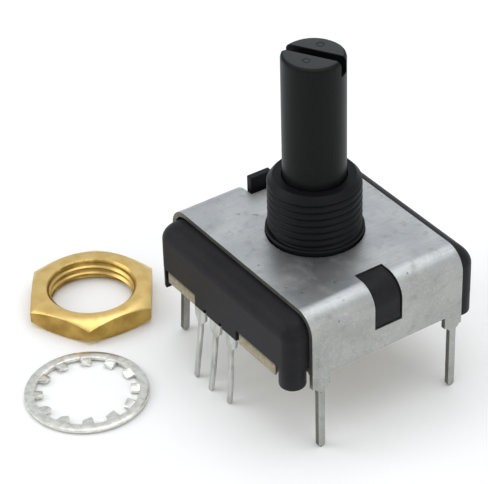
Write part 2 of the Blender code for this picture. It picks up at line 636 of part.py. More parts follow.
def build_nut():
    corner = NUT_ACROSS_FLATS / math.sqrt(3)
    hexagon = arc((0, 0), corner, 0, 300, 5)
    low, high = TIP_Z, TIP_Z + NUT_THICK
    bm = flat_prism(hexagon, low, high)
    bmesh.ops.rotate(bm, verts=bm.verts, matrix=Matrix.Rotation(NUT_TURN, 3, "Z"))
    bmesh.ops.translate(bm, verts=bm.verts, vec=(*NUT_CENTRE, 0))
    nut = new_object("mounting_nut", bm, BRASS)
    slope = math.tan(math.radians(NUT_CHAMFER_DEGREES))
    end_r = NUT_ACROSS_FLATS / 2 - NUT_FACE_INSET - NUT_BARREL_OVER / slope
    wide_r = corner + OVERRUN / 2
    end = high + NUT_BARREL_OVER
    rise = (wide_r - end_r) * slope
    upper = [(wide_r, end - rise), (end_r, end), (0, end)]
    barrel = turned([(radius, low + high - z) for radius, z in reversed(upper)] + upper, 72)
    bmesh.ops.translate(barrel, verts=barrel.verts, vec=(*NUT_CENTRE, 0))
    boolean(nut, new_object("shape_nut_corners", barrel), "INTERSECT")
    bore = cylinder(NUT_BORE_R, low - OVERRUN, high + OVERRUN, NUT_CENTRE, 64)
    boolean(nut, new_object("cut_nut_bore", bore))


def build_lock_washer():
    """A flat ring with square teeth pointing inwards."""
    inner = WASHER_R - WASHER_BAND
    outline = []
    pitch = 360 / WASHER_TEETH
    for tooth in range(WASHER_TEETH):
        start = tooth * pitch
        tip_start, tip_end = (start + pitch * share for share in WASHER_TIP)
        outline += arc((0, 0), inner, start, start + pitch * WASHER_GAP_END, 3)
        outline += arc((0, 0), inner - WASHER_TOOTH, tip_start, tip_end, 2)
    hole = flat_prism(outline, TIP_Z - OVERRUN, TIP_Z + OVERRUN)
    bmesh.ops.translate(hole, verts=hole.verts, vec=(*WASHER_CENTRE, 0))
    ring = cylinder(WASHER_R, TIP_Z, TIP_Z + WASHER_THICK, WASHER_CENTRE, 72)
    washer = new_object("lock_washer", ring, BRIGHT_STEEL)
    boolean(washer, new_object("cut_washer_teeth", hole))


def main():
    clear_scene()
    build_bracket()
    build_housing()
    build_shaft()
    build_shaft_rings()
    build_detent_wheel()
    build_contact_wiper()
    build_detent_spring()
    build_board()
    build_tracks()
    build_terminals()
    build_nut()
    build_lock_washer()


main()
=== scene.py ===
"""A panel rotary encoder on its circuit-board bracket, with its mounting nut and lock washer beside it.

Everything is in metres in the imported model's frame: +Z along the shaft, the terminals on the -Y side.
"""

import json
import math

import bmesh
import bpy
from mathutils import Matrix, Vector


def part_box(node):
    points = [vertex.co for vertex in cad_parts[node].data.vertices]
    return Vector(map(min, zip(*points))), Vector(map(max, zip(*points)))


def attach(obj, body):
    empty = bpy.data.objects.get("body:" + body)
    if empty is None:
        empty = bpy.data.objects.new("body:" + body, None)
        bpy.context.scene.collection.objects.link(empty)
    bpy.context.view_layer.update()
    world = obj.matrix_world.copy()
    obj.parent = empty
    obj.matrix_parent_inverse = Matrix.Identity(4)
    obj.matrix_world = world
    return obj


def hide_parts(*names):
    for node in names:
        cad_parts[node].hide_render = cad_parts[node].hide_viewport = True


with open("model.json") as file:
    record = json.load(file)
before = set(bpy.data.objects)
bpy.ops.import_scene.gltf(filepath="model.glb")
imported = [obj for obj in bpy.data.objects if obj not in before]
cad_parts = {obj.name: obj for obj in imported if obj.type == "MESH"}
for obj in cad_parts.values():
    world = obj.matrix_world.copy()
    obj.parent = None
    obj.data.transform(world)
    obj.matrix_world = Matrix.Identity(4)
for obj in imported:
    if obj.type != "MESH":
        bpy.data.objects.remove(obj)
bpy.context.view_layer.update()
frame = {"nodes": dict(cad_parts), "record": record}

MM = 0.001
# How far a cutter runs past what it cuts.
OVER = 1 * MM

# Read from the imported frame.
BRACKET_LOW, BRACKET_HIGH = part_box("bracket")
HOUSING_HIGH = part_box("housing")[1]
SHAFT_LOW, SHAFT_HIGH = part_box("shaft")
BOARD_LOW, BOARD_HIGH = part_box("terminal_board")
NUT_LOW, NUT_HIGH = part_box("mounting_nut")
WASHER_LOW, WASHER_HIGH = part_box("lock_washer")
PANEL_Z = BRACKET_HIGH.z
GROUND_Z = BRACKET_LOW.z
NUT_CENTRE = (NUT_LOW + NUT_HIGH) / 2
WASHER_CENTRE = (WASHER_LOW + WASHER_HIGH) / 2

# Bracket.
SHEET = 0.5 * MM
SHEET_EDGE_R = 0.07 * MM
BEND_OUTER = 2.2 * MM
WALL_BOTTOM_Z = 1.25 * MM
TAB_INNER_Y = 6.65 * MM
LEG_Y = 7.62 * MM
LEG_WIDTH = 0.72 * MM
LEG_SHOULDER = 0.45 * MM
LEG_ROOT_Z = 0.3 * MM
BENT_LEG_LEAN = 0.36 * MM
# A bent blade leans by this power of the way down it, so that it curves.
LEAN_POWER = 1.4
# The level loops that let a leg or a terminal bend.
BLADE_LOOPS = 13
BLADE_LOOP_STEP = 0.5 * MM
BUSHING_HOLE_R = 4.73 * MM
WINDOW_TOP_X = 8.2 * MM
WINDOW_HALF_Y = 1.55 * MM
WINDOW_SIDE_Z = PANEL_Z - 4.33 * MM

# Housing, with its bushing, lug, feet and apron.
# Along Y, because along X the box takes in the pad in the window.
HOUSING_HALF = HOUSING_HIGH.y
HOUSING_TOP_Z = PANEL_Z - SHEET - 0.1 * MM
HOUSING_RIM_Z = 2.25 * MM
HOUSING_CORNER_R = 1.3 * MM
HOUSING_EDGE_R = 1.9 * MM
FOOT_R = HOUSING_CORNER_R - 0.02 * MM
FOOT_XY = HOUSING_HALF - HOUSING_CORNER_R
FOOT_ROOT_Z = HOUSING_RIM_Z + 1.3 * MM
FOOT_EDGE_R = 0.22 * MM
ROOF_UNDERSIDE_Z = HOUSING_TOP_Z - 1.1 * MM
CAVITY_HALF = 9.2 * MM
CAVITY_CORNER_R = 3.0 * MM
CORNER_POST_X = -9.65 * MM
CORNER_POST_EDGE_R = 0.12 * MM
WINDOW_PAD_GAP = 0.12 * MM
WINDOW_PAD_EDGE_R = 0.06 * MM
APRON_X = (-4.6 * MM, 2.3 * MM)
APRON_BOTTOM_Z = 0.95 * MM
APRON_BACK_Y = -10.35 * MM
APRON_INSET = 0.02 * MM
APRON_EDGE_R = 0.05 * MM
APRON_NOTCH_WIDTH = 0.42 * MM
APRON_NOTCH_HEIGHT = 0.5 * MM
BUSHING_TOP_Z = HOUSING_HIGH.z
BUSHING_ROOT_Z = ROOF_UNDERSIDE_Z + 0.3 * MM
BUSHING_NECK_R = 4.42 * MM
BUSHING_BEAD_R = 4.68 * MM
BUSHING_BEAD_Z = (PANEL_Z + 0.27 * MM, PANEL_Z + 0.57 * MM)
BUSHING_BEAD_LIP = 0.07 * MM
BUSHING_R_AT_TOP = 3.92 * MM
# How much the cone at the bushing's top widens for each millimetre down.
BUSHING_CONE = 0.9
BUSHING_BORE_R = 3.1 * MM
THREAD_CREST_R = 4.46 * MM
THREAD_ROOT_R = 4.22 * MM
THREAD_PITCH = 0.75 * MM
# Below 1, the crests of a thread are fatter than a sine's.
THREAD_FATNESS = 0.8
LUG_LOW = Vector((-9.425 * MM, -1.25 * MM, HOUSING_TOP_Z - 1 * MM))
LUG_HIGH = Vector((-8.675 * MM, 1.25 * MM, PANEL_Z + 1.42 * MM))
LUG_EDGE_R = 0.12 * MM

# Terminal board.
BOARD_HALF = BOARD_HIGH.x
BOARD_FOOT_NOTCH_R = 1.55 * MM
BOARD_NOTCH = (-9.55 * MM, 8.1 * MM)
BOARD_APRON_GAP = 0.1 * MM
BOARD_CORNER_R = 0.22 * MM
BOARD_EDGE_R = 0.05 * MM
PIVOT_HOLE_R = 1.55 * MM
RIVET_HOLE_R = 0.5 * MM

# Terminals.
TERMINAL_SHEET = 0.3 * MM
TERMINAL_TIP_HALF = 0.275 * MM
TERMINAL_TAB_INSET = 0.05 * MM
TERMINAL_EDGE_R = 0.05 * MM
# The shoulder keeps this share of the width at the first height, and narrows to the tip's at the second.
TERMINAL_SHOULDER = 0.9
TERMINAL_SHOULDER_Z = (-0.35 * MM, -0.95 * MM)
# How each terminal is bent: its lean along x and along y at the tip, and the reach of its S.
TERMINAL_BENDS = {
    "terminal_b": (-0.05 * MM, -0.80 * MM, 0.03 * MM),
    "terminal_common": (-0.05 * MM, -0.85 * MM, -0.02 * MM),
    "terminal_a": (0.10 * MM, -0.55 * MM, -0.06 * MM),
}

# Shaft.
SHAFT_R = 3.0 * MM
SHAFT_EDGE_R = 0.05 * MM
SLOT_WIDTH = 1.1 * MM
SLOT_DEPTH = 1.6 * MM
SLOT_ANGLE = math.radians(30)
# The rounding of the shaft's end: how far in and how far down each step is.
SHAFT_END = ((0, 0.45 * MM), (0.08 * MM, 0.22 * MM), (0.38 * MM, 0.02 * MM), (0.50 * MM, 0))
GATE_MARK_R = (0.28 * MM, 0.40 * MM)
GATE_MARK_OUT = 1.55 * MM
GATE_MARK_DEEP = 0.05 * MM
PIVOT_R = 1.4 * MM
PIVOT_LEAD_IN = 0.15 * MM
CLIP_GROOVE_R = 1.55 * MM
CLIP_GROOVE_Z = (2.52 * MM, 3.0 * MM)
DRIVE_R = 2.2 * MM
DRIVE_FLAT = 1.6 * MM
FLANGE_R = 4.5 * MM
FLANGE_Z = (4.85 * MM, 5.75 * MM)
SEAL_GROOVE_R = 2.2 * MM
SEAL_GROOVE_Z = (10.4 * MM, 11.6 * MM)

# Nut and washer.
NUT_ACROSS_FLATS = 12.0 * MM
NUT_TURN = math.radians(26.4)
NUT_CHAMFER = math.radians(30)
NUT_FACE_INSET = 0.15 * MM
NUT_BARREL_OUT = 0.5 * MM
NUT_MINOR_R = 4.08 * MM
NUT_MAJOR_R = 4.42 * MM
NUT_MOUTH_R = 4.55 * MM
NUT_SINK = 0.45 * MM
NUT_EDGE_R = 0.04 * MM
WASHER_R = 6.0 * MM
WASHER_BAND = 0.95 * MM
WASHER_SHEET = 0.36 * MM
WASHER_EDGE_R = 0.07 * MM
WASHER_TOOTH = 0.85 * MM
WASHER_TOOTH_WIDTH = 1.24 * MM
WASHER_TOOTH_TAPER = 0.22
WASHER_TOOTH_EDGE_R = 0.06 * MM
WASHER_TWIST = math.radians(22)
WASHER_TEETH = 12


# ---------------------------------------------------------------- finishes


class Value:
    """A socket in a finish. Arithmetic on it adds the Math nodes."""

    def __init__(self, finish, socket):
        self.finish = finish
        self.socket = socket

    def math(self, operation, *values, **settings):
        settings["operation"] = operation
        return self.finish.node("ShaderNodeMath", settings, dict(enumerate(values)))

    def __add__(self, other):
        return self.math("ADD", self, other)

    def __sub__(self, other):
        return self.math("SUBTRACT", self, other)

    def __mul__(self, other):
        return self.math("MULTIPLY", self, other)

    def __truediv__(self, other):
        return self.math("DIVIDE", self, other)

    def __radd__(self, other):
        return self.math("ADD", other, self)

    def __rsub__(self, other):
        return self.math("SUBTRACT", other, self)

    def __rmul__(self, other):
        return self.math("MULTIPLY", other, self)

    def __pow__(self, other):
        return self.math("POWER", self, other)

    def __abs__(self):
        return self.math("ABSOLUTE", self)

    def step(self, low, high):
        """0 below low, 1 above high, and smooth between them."""
        ends = {"Value": self, "From Min": low, "From Max": high}
        return self.finish.node("ShaderNodeMapRange", {"interpolation_type": "SMOOTHSTEP"}, ends)


class Finish:
    """A procedural material. A number that is the same all over goes straight onto the shader's socket."""

    def __init__(self, name, constants=None):
        self.material = bpy.data.materials.new(name)
        self.material.use_nodes = True
        self.tree = self.material.node_tree
        self.shader = self.tree.nodes["Principled BSDF"]
        for socket, value in (constants or {}).items():
            self.shader.inputs[socket].default_value = value
        self.place = self.node("ShaderNodeTexCoord", output="Object")
        axes = self.node("ShaderNodeSeparateXYZ", sockets={0: self.place}, output=None)
        self.x, self.y, self.z = (Value(self, socket) for socket in axes)

    def node(self, kind, settings=None, sockets=None, output=0):
        """Adds a node: its settings first, then its sockets, from a value or a link. Returns one output."""
        made = self.tree.nodes.new(kind)
        for key, setting in (settings or {}).items():
            setattr(made, key, setting)
        for key, value in (sockets or {}).items():
            if isinstance(value, Value):
                self.tree.links.new(value.socket, made.inputs[key])
            else:
                made.inputs[key].default_value = value
        return made.outputs if output is None else Value(self, made.outputs[output])

    def mix(self, factor, low, high):
        """A colour from low, where the factor is 0, to high, where it is 1."""
        ends = {0: factor}
        for socket, colour in ((6, low), (7, high)):
            ends[socket] = colour if isinstance(colour, Value) else (*colour, 1.0)
        return self.node("ShaderNodeMix", {"data_type": "RGBA"}, ends, output=2)

    def noise(self, size, stretch=(1, 1, 1), detail=3.0, shift=(0, 0, 0)):
        """Noise from 0 to 1 with patches of that size, stretched along the axes."""
        scale = tuple(1 / (size * along) for along in stretch)
        spot = self.node("ShaderNodeMapping", {}, {"Vector": self.place, "Location": shift, "Scale": scale})
        return self.node("ShaderNodeTexNoise", {}, {"Vector": spot, "Scale": 1.0, "Detail": detail})

    def cells(self, size, shift=(0, 0, 0), output="Distance"):
        """The distance to the nearest of points scattered about that far apart, in units of that size."""
        scale = (1 / size,) * 3
        spot = self.node("ShaderNodeMapping", {}, {"Vector": self.place, "Location": shift, "Scale": scale})
        return self.node("ShaderNodeTexVoronoi", {}, {"Vector": spot, "Scale": 1.0}, output=output)

    def radius_from(self, centre):
        """Distance from the upright line through that centre."""
        across = self.x - centre.x
        along = self.y - centre.y
        return (across * across + along * along) ** 0.5

    def facing(self, axis, low, high):
        """0 to 1 as the surface turns to face along that axis, either way."""
        normal = self.node("ShaderNodeTexCoord", output="Normal")
        parts = self.node("ShaderNodeSeparateXYZ", sockets={0: normal}, output=None)
        return abs(Value(self, parts["XYZ".index(axis)])).step(low, high)

    def paint(self, colour=None, roughness=None, metallic=None, height=None):
        """Links what changes over the surface. Height is in metres."""
        for socket, value in (("Base Color", colour), ("Roughness", roughness), ("Metallic", metallic)):
            if value is not None:
                self.tree.links.new(value.socket, self.shader.inputs[socket])
        if height is not None:
            bump = self.node("ShaderNodeBump", {}, {"Height": height, "Distance": 1.0, "Strength": 1.0})
            self.tree.links.new(bump.socket, self.shader.inputs["Normal"])
        return self.material


def moulded_finish(name, colour, worn, roughness, grain, flow):
    """Glass-filled moulding: spark-eroded grain, faint flow lines and a dusting of lighter fibres."""
    finish = Finish(name, {"Specular IOR Level": 0.13})
    texture = finish.noise(grain, detail=2.0)
    cloud = finish.noise(2.6 * MM, flow, detail=4.0)
    lines = finish.noise(0.22 * MM, flow, detail=2.0, shift=(3, 1, 7))
    fibres = finish.noise(0.16 * MM, (1, 1, 1), detail=1.0, shift=(9, 4, 2)).step(0.66, 0.78)
    tone = finish.mix(cloud.step(0.3, 0.75) * 0.6 + lines * 0.4, colour, worn)
    light = tuple(3.2 * part for part in worn)
    tone = finish.mix(fibres * 0.35, tone, light)
    gloss = roughness + 0.16 * cloud - 0.08 * lines
    height = (0.010 * MM) * texture + (0.008 * MM) * lines + (0.012 * MM) * cloud
    return finish, tone, gloss, height


def housing_plastic():
    dark, pale = (0.0080, 0.0078, 0.0095), (0.0155, 0.0150, 0.0180)
    finish, tone, gloss, height = moulded_finish("housing_plastic", dark, pale, 0.42, 0.14 * MM, (1, 1, 1))
    beside = finish.radius_from(Vector((0, 0, 0))).step(1.05 * BUSHING_BEAD_R, BUSHING_BEAD_R)
    bushing = beside * finish.z.step(PANEL_Z, BUSHING_BEAD_Z[0])
    tone = finish.mix(bushing * 0.8, tone, (0.0032, 0.0032, 0.0038))
    return finish.paint(tone, gloss, height=height)


def shaft_plastic():
    dark, pale = (0.0022, 0.0023, 0.0024), (0.0058, 0.0060, 0.0062)
    finish, tone, gloss, height = moulded_finish("shaft_plastic", dark, pale, 0.36, 0.12 * MM, (1, 1, 9))
    # Painted highlight: the top end of the shaft is painted a lighter grey, as if lit from above.
    end = finish.z.step(SHAFT_HIGH.z - 0.12 * MM, SHAFT_HIGH.z - 0.02 * MM)
    tone = finish.mix(end * 0.6, tone, (0.060, 0.066, 0.064))
    return finish.paint(tone, gloss, height=height)


def bracket_steel():
    """Tin over rolled strip: drawn streaks round the bends, grime, scratches, pits and sheared edges, with
    painted light: faces turned up painted lighter, upright walls painted darker.
    """
    finish = Finish("bracket_steel", {"Metallic": 1.0})
    # Mask of the faces turned up or down, used below to paint light on the tops and shade on the walls.
    up = finish.facing("Z", 0.55, 0.99)
    sheared = finish.facing("Y", 0.8, 0.95)
    cloud = finish.noise(3.5 * MM, detail=5.0)
    streaks = finish.noise(0.10 * MM, (1, 34, 1), detail=3.0, shift=(2, 5, 1))
    broad = finish.noise(0.55 * MM, (1, 14, 1), detail=2.0, shift=(6, 2, 8))
    swirls = finish.noise(0.5 * MM, (6, 1, 1), detail=4.0, shift=(1, 8, 3))
    scratch = abs(finish.noise(1.7 * MM, (1, 2.4, 1), detail=1.0, shift=(4, 4, 4)) - 0.5).step(0.004, 0.0)
    sparse = finish.noise(2.2 * MM, detail=0.0, shift=(7, 3, 5)).step(0.55, 0.68)
    scratches = scratch * sparse
    pits = finish.cells(2.1 * MM).step(0.075, 0.03)
    grime = finish.noise(1.1 * MM, detail=5.0, shift=(8, 8, 1)).step(0.50, 0.78)
    speckle = finish.noise(0.24 * MM, detail=4.0, shift=(5, 9, 6)).step(0.52, 0.72)
    # Painted light and shade: faces turned up get a lighter tone and upright walls a darker one, though both
    # are the same tin plate.
    level = finish.mix(cloud.step(0.3, 0.7), (0.47, 0.49, 0.50), (0.60, 0.61, 0.61))
    upright = finish.mix(cloud.step(0.3, 0.7), (0.33, 0.335, 0.32), (0.43, 0.43, 0.41))
    tone = finish.mix(up, upright, level)
    tone = finish.mix(streaks.step(0.35, 0.7) * 0.40, tone, (0.40, 0.41, 0.41))
    tone = finish.mix(grime * 0.42, tone, (0.27, 0.27, 0.25))
    tone = finish.mix(speckle * 0.22, tone, (0.70, 0.71, 0.70))
    tone = finish.mix(scratches * 0.5 + pits * 0.6, tone, (0.12, 0.12, 0.11))
    tone = finish.mix(sheared * (0.55 + 0.4 * broad), tone, (0.105, 0.10, 0.072))
    gloss = 0.30 + 0.10 * cloud + 0.12 * streaks + 0.12 * grime + 0.12 * sheared
    height = (0.0020 * MM) * streaks + (0.005 * MM) * broad + (0.003 * MM) * swirls + (0.0012 * MM) * speckle
    height = height - (0.006 * MM) * scratches - (0.012 * MM) * pits
    return finish.paint(tone, gloss, height=height)


def plated(name, pale, dark, roughness, grain, stretch=(1, 1, 1)):
    """Plated metal with a drawn or rolled grain and dull patches."""
    finish = Finish(name, {"Metallic": 1.0})
    patches = finish.noise(6 * grain, stretch, detail=4.0)
    lines = finish.noise(grain, stretch, detail=2.0, shift=(5, 1, 3))
    tone = finish.mix(patches.step(0.35, 0.7) * 0.8 + lines * 0.2, pale, dark)
    height = (0.010 * MM) * patches + (0.003 * MM) * lines
    return finish.paint(tone, roughness + 0.14 * patches + 0.06 * lines, height=height)


def terminal_tin():
    return plated("terminal_tin", (0.62, 0.63, 0.61), (0.42, 0.43, 0.40), 0.34, 0.10 * MM, (1, 1, 3))


def spring_steel():
    return plated("spring_steel", (0.56, 0.56, 0.55), (0.40, 0.40, 0.39), 0.22, 0.06 * MM, (1, 9, 1))


def contact_alloy():
    return plated("contact_alloy", (0.82, 0.73, 0.60), (0.66, 0.55, 0.42), 0.22, 0.06 * MM, (7, 1, 1))


def printed_silver():
    return plated("printed_silver", (0.66, 0.65, 0.62), (0.48, 0.47, 0.43), 0.42, 0.05 * MM)


def rivet_metal():
    return plated("rivet_metal", (0.72, 0.71, 0.66), (0.50, 0.49, 0.45), 0.26, 0.08 * MM)


def washer_steel():
    return plated("washer_steel", (0.86, 0.85, 0.80), (0.62, 0.61, 0.55), 0.20, 0.09 * MM)


def nut_brass():
    """Turned and chamfered faces with concentric marks, between drawn flats that are a little darker."""
    finish = Finish("nut_brass", {"Metallic": 1.0})
    radius = finish.radius_from(NUT_CENTRE)
    up = finish.facing("Z", 0.6, 0.9)
    rings = finish.node(
        "ShaderNodeTexNoise", {"noise_dimensions": "1D"}, {"W": radius / (0.07 * MM), "Scale": 1.0}
    )
    drawn = finish.noise(0.07 * MM, (1, 1, 14), detail=2.0)
    stains = finish.noise(1.5 * MM, detail=5.0, shift=(2, 2, 2))
    face = finish.mix(stains.step(0.35, 0.75), (0.86, 0.62, 0.24), (0.72, 0.48, 0.15))
    flat = finish.mix(stains.step(0.3, 0.7), (0.52, 0.34, 0.09), (0.34, 0.21, 0.05))
    tone = finish.mix(up, flat, face)
    gloss = 0.22 + 0.12 * stains + 0.05 * drawn
    height = up * rings * (0.0025 * MM) + (1 - up) * drawn * (0.003 * MM) + (0.003 * MM) * stains
    return finish.paint(tone, gloss, height=height)


def board_laminate():
    """Punched paper laminate: layers along its edges, and painted shade on its top face and in a ragged dark
    band down its edges, under the housing's rim.
    """
    finish = Finish("board_laminate", {"Specular IOR Level": 0.4})
    layers = finish.noise(0.12 * MM, (22, 22, 1), detail=3.0)
    paper = finish.noise(0.35 * MM, detail=5.0, shift=(3, 3, 3))
    ragged = finish.z + (0.28 * MM) * paper
    # Painted shadow: the board's top face and a ragged band down its edges are darkened, as shade under the
    # housing's rim.
    rim_shadow_band = ragged.step(BOARD_HIGH.z - 0.22 * MM, BOARD_HIGH.z - 0.06 * MM)
    tone = finish.mix(paper.step(0.3, 0.7), (0.33, 0.29, 0.20), (0.24, 0.20, 0.13))
    tone = finish.mix(layers.step(0.4, 0.65) * 0.4, tone, (0.42, 0.38, 0.28))
    tone = finish.mix(rim_shadow_band * 0.7, tone, (0.12, 0.11, 0.06))
    height = (0.020 * MM) * layers + (0.015 * MM) * paper
    return finish.paint(tone, 0.55 + 0.2 * paper, height=height)


def wheel_plastic():
    finish, tone, gloss, height = moulded_finish(
        "wheel_plastic", (0.70, 0.68, 0.62), (0.78, 0.77, 0.72), 0.34, 0.10 * MM, (1, 1, 1)
    )
    return finish.paint(tone, gloss, height=height)


def seal_rubber():
    finish, tone, gloss, height = moulded_finish(
        "seal_rubber", (0.014, 0.014, 0.014), (0.024, 0.024, 0.024), 0.60, 0.08 * MM, (1, 1, 1)
    )
    return finish.paint(tone, gloss, height=height)


FINISHES = {
    "housing_plastic": housing_plastic(),
    "shaft_plastic": shaft_plastic(),
    "bracket_steel": bracket_steel(),
    "terminal_tin": terminal_tin(),
    "spring_steel": spring_steel(),
    "contact_alloy": contact_alloy(),
    "printed_silver": printed_silver(),
    "rivet_metal": rivet_metal(),
    "washer_steel": washer_steel(),
    "nut_brass": nut_brass(),
    "board_laminate": board_laminate(),
    "wheel_plastic": wheel_plastic(),
    "seal_rubber": seal_rubber(),
}
NODE_SLOTS = {part["node"]: part["material_slot"] for part in frame["record"]["subparts"]}


# ---------------------------------------------------------------- shapes


def moved_verts(result):
    return [item for item in result["geom"] if isinstance(item, bmesh.types.BMVert)]


def box(low, high, round_r=0.0, segments=3):
    bm = bmesh.new()
    size = Vector(high) - Vector(low)
    middle = (Vector(high) + Vector(low)) / 2
    bmesh.ops.create_cube(bm, size=1, matrix=Matrix.Translation(middle) @ Matrix.Diagonal((*size, 1)))
    if round_r:
        round_edges(bm, round_r, segments)
    return bm


def round_edges(bm, radius, segments=3, sharper_than=30):
    limit = math.radians(sharper_than)
    edges = [edge for edge in bm.edges if edge.calc_face_angle(0) > limit]
    bmesh.ops.bevel(
        bm,
        geom=edges,
        offset=radius,
        segments=segments,
        profile=0.5,
        affect="EDGES",
        material=-1,
        clamp_overlap=True,
    )


def turned(profile, steps=96, centre=(0, 0, 0)):
    """A solid of revolution about the upright line through the centre. The profile is (radius, z) points."""
    bm = bmesh.new()
    verts = [bm.verts.new((radius, 0, z)) for radius, z in profile]
    edges = [bm.edges.new(pair) for pair in zip(verts, verts[1:])]
    if profile[0][0] > 0:
        edges.append(bm.edges.new((verts[-1], verts[0])))
    bmesh.ops.spin(
        bm, geom=verts + edges, axis=(0, 0, 1), cent=(0, 0, 0), angle=math.tau, steps=steps, use_merge=True
    )
    bmesh.ops.remove_doubles(bm, verts=bm.verts, dist=0.0005 * MM)
    bmesh.ops.translate(bm, verts=bm.verts, vec=(centre[0], centre[1], 0))
    return bm


def cylinder(radius, z_low, z_high, centre=(0, 0), round_r=0.0, steps=64):
    bm = turned([(0, z_low), (radius, z_low), (radius, z_high), (0, z_high)], steps, centre)
    if round_r:
        round_edges(bm, round_r)
    return bm


def arc(centre, radius, start, stop, steps):
    """Points of an arc, from start to stop in degrees, both included."""
    angles = [math.radians(start + (stop - start) * i / steps) for i in range(steps + 1)]
    return [(centre[0] + radius * math.cos(a), centre[1] + radius * math.sin(a)) for a in angles]


def prism(outline, depth, round_r=0.0):
    """A flat closed outline of 3D points, extruded by depth."""
    bm = bmesh.new()
    face = bm.faces.new([bm.verts.new(point) for point in outline])
    grown = bmesh.ops.extrude_face_region(bm, geom=[face])
    bmesh.ops.translate(bm, verts=moved_verts(grown), vec=depth)
    bmesh.ops.recalc_face_normals(bm, faces=bm.faces)
    if round_r:
        round_edges(bm, round_r, 2)
    return bm


def rounded_plate(half, corner_r, z_low, z_high, steps=8):
    """A square slab with round corners."""
    inner = half - corner_r
    outline = []
    for turn, (side, end) in enumerate(((1, 1), (-1, 1), (-1, -1), (1, -1))):
        corner = arc((side * inner, end * inner), corner_r, 90 * turn, 90 * turn + 90, steps)
        outline += [(x, y, z_low) for x, y in corner]
    return prism(outline, (0, 0, z_high - z_low))


def trim(bm, point, normal):
    """Cuts away what lies beyond a plane, and closes the cut."""
    everything = bm.verts[:] + bm.edges[:] + bm.faces[:]
    cut = bmesh.ops.bisect_plane(bm, geom=everything, plane_co=point, plane_no=normal, clear_outer=True)
    rim = [item for item in cut["geom_cut"] if isinstance(item, bmesh.types.BMEdge)]
    bmesh.ops.edgeloop_fill(bm, edges=rim)


def threaded_rod(crest_r, root_r, pitch, z_low, z_high, steps=72):
    """One pitch of rounded thread swept up a helix, cut level at both ends and closed there."""
    bm = bmesh.new()
    points = 8
    start_z = z_low - 2 * pitch
    profile = []
    for i in range(points + 1):
        share = i / points
        swell = math.sin(math.pi * share) ** THREAD_FATNESS
        radius = root_r + (crest_r - root_r) * swell
        profile.append(bm.verts.new((radius, 0, start_z + share * pitch)))
    edges = [bm.edges.new(pair) for pair in zip(profile, profile[1:])]
    turns = math.ceil((z_high - z_low) / pitch) + 3
    bmesh.ops.spin(
        bm,
        geom=profile + edges,
        axis=(0, 0, 1),
        cent=(0, 0, 0),
        dvec=(0, 0, pitch / steps),
        angle=math.tau * turns,
        steps=steps * turns,
    )
    bmesh.ops.remove_doubles(bm, verts=bm.verts, dist=0.002 * MM)
    trim(bm, (0, 0, z_low), (0, 0, -1))
    trim(bm, (0, 0, z_high), (0, 0, 1))
    bmesh.ops.recalc_face_normals(bm, faces=bm.faces)
    return bm


def loose_object(name, bm):
    bmesh.ops.recalc_face_normals(bm, faces=bm.faces)
    mesh = bpy.data.meshes.new(name)
    bm.to_mesh(mesh)
    bm.free()
    obj = bpy.data.objects.new(name, mesh)
    bpy.context.scene.collection.objects.link(obj)
    return obj


def settle(obj):
    """Makes the object's mesh what its modifiers make of it, and takes them off."""
    graph = bpy.context.evaluated_depsgraph_get()
    mesh = bpy.data.meshes.new_from_object(obj.evaluated_get(graph))
    obj.modifiers.clear()
    obj.data = mesh


def combine(obj, operation, *shapes):
    """Joins shapes to the object, or cuts them from it, one after another."""
    for index, bm in enumerate(shapes):
        tool = loose_object(f"{obj.name}_tool_{index}", bm)
        modifier = obj.modifiers.new("combine", "BOOLEAN")
        modifier.operation = operation
        modifier.object = tool
        settle(obj)
        bpy.data.objects.remove(tool)


def soften(obj, width, segments=2, sharper_than=30):
    """Rounds the sharp edges a little and keeps the flat faces flat in the light."""
    bevel = obj.modifiers.new("soften", "BEVEL")
    bevel.width = width
    bevel.segments = segments
    bevel.limit_method = "ANGLE"
    bevel.angle_limit = math.radians(sharper_than)
    bevel.miter_outer = "MITER_ARC"
    bevel.use_clamp_overlap = True
    settle(obj)


def shade(obj, sharper_than=35):
    obj.data.shade_smooth()
    obj.data.set_sharp_from_angle(angle=math.radians(sharper_than))
    weighted = obj.modifiers.new("even_shading", "WEIGHTED_NORMAL")
    weighted.keep_sharp = True
    settle(obj)


def finish_piece(obj, slot, body, *nodes):
    obj.data.materials.clear()
    obj.data.materials.append(FINISHES[slot])
    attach(obj, body)
    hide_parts(*nodes)
    return obj


# ---------------------------------------------------------------- pieces


def blade_outline(shoulders, half):
    """The (across, z) outline of a blade: half-widths at its shoulders, then a run to a round tip."""
    left = [(-across, z) for across, z in shoulders]
    right = [(across, z) for across, z in reversed(shoulders)]
    return left + arc((0, GROUND_Z + half), half, 180, 360, 10) + right


def slice_level(bm):
    """Cuts level loops into a blade, so that it can be bent."""
    for loop in range(1, BLADE_LOOPS + 1):
        everything = bm.verts[:] + bm.edges[:] + bm.faces[:]
        point = (0, 0, -BLADE_LOOP_STEP * loop)
        bmesh.ops.bisect_plane(bm, geom=everything, plane_co=point, plane_no=(0, 0, 1))


def lean(mesh, start_z, lean_x, lean_y, wave=0.0):
    """Bends a blade below start_z by up to that much at its tip, and adds a slight S along x."""
    for vert in mesh.vertices:
        down = max(start_z - vert.co.z, 0) / (start_z - GROUND_Z)
        vert.co.y += lean_y * down ** LEAN_POWER
        vert.co.x += lean_x * down ** LEAN_POWER + wave * math.sin(math.tau * down)


def bracket_leg(side, end):
    """One solder leg, below one end of one wall."""
    half = LEG_WIDTH / 2
    root = half + LEG_SHOULDER
    outline = blade_outline([(root, LEG_ROOT_Z), (root, 0), (half, -LEG_SHOULDER)], half)
    x_low = side * BRACKET_HIGH.x - (SHEET if side > 0 else 0)
    leg = prism([(x_low, end * LEG_Y + y, z) for y, z in outline], (SHEET, 0, 0))
    slice_level(leg)
    return leg


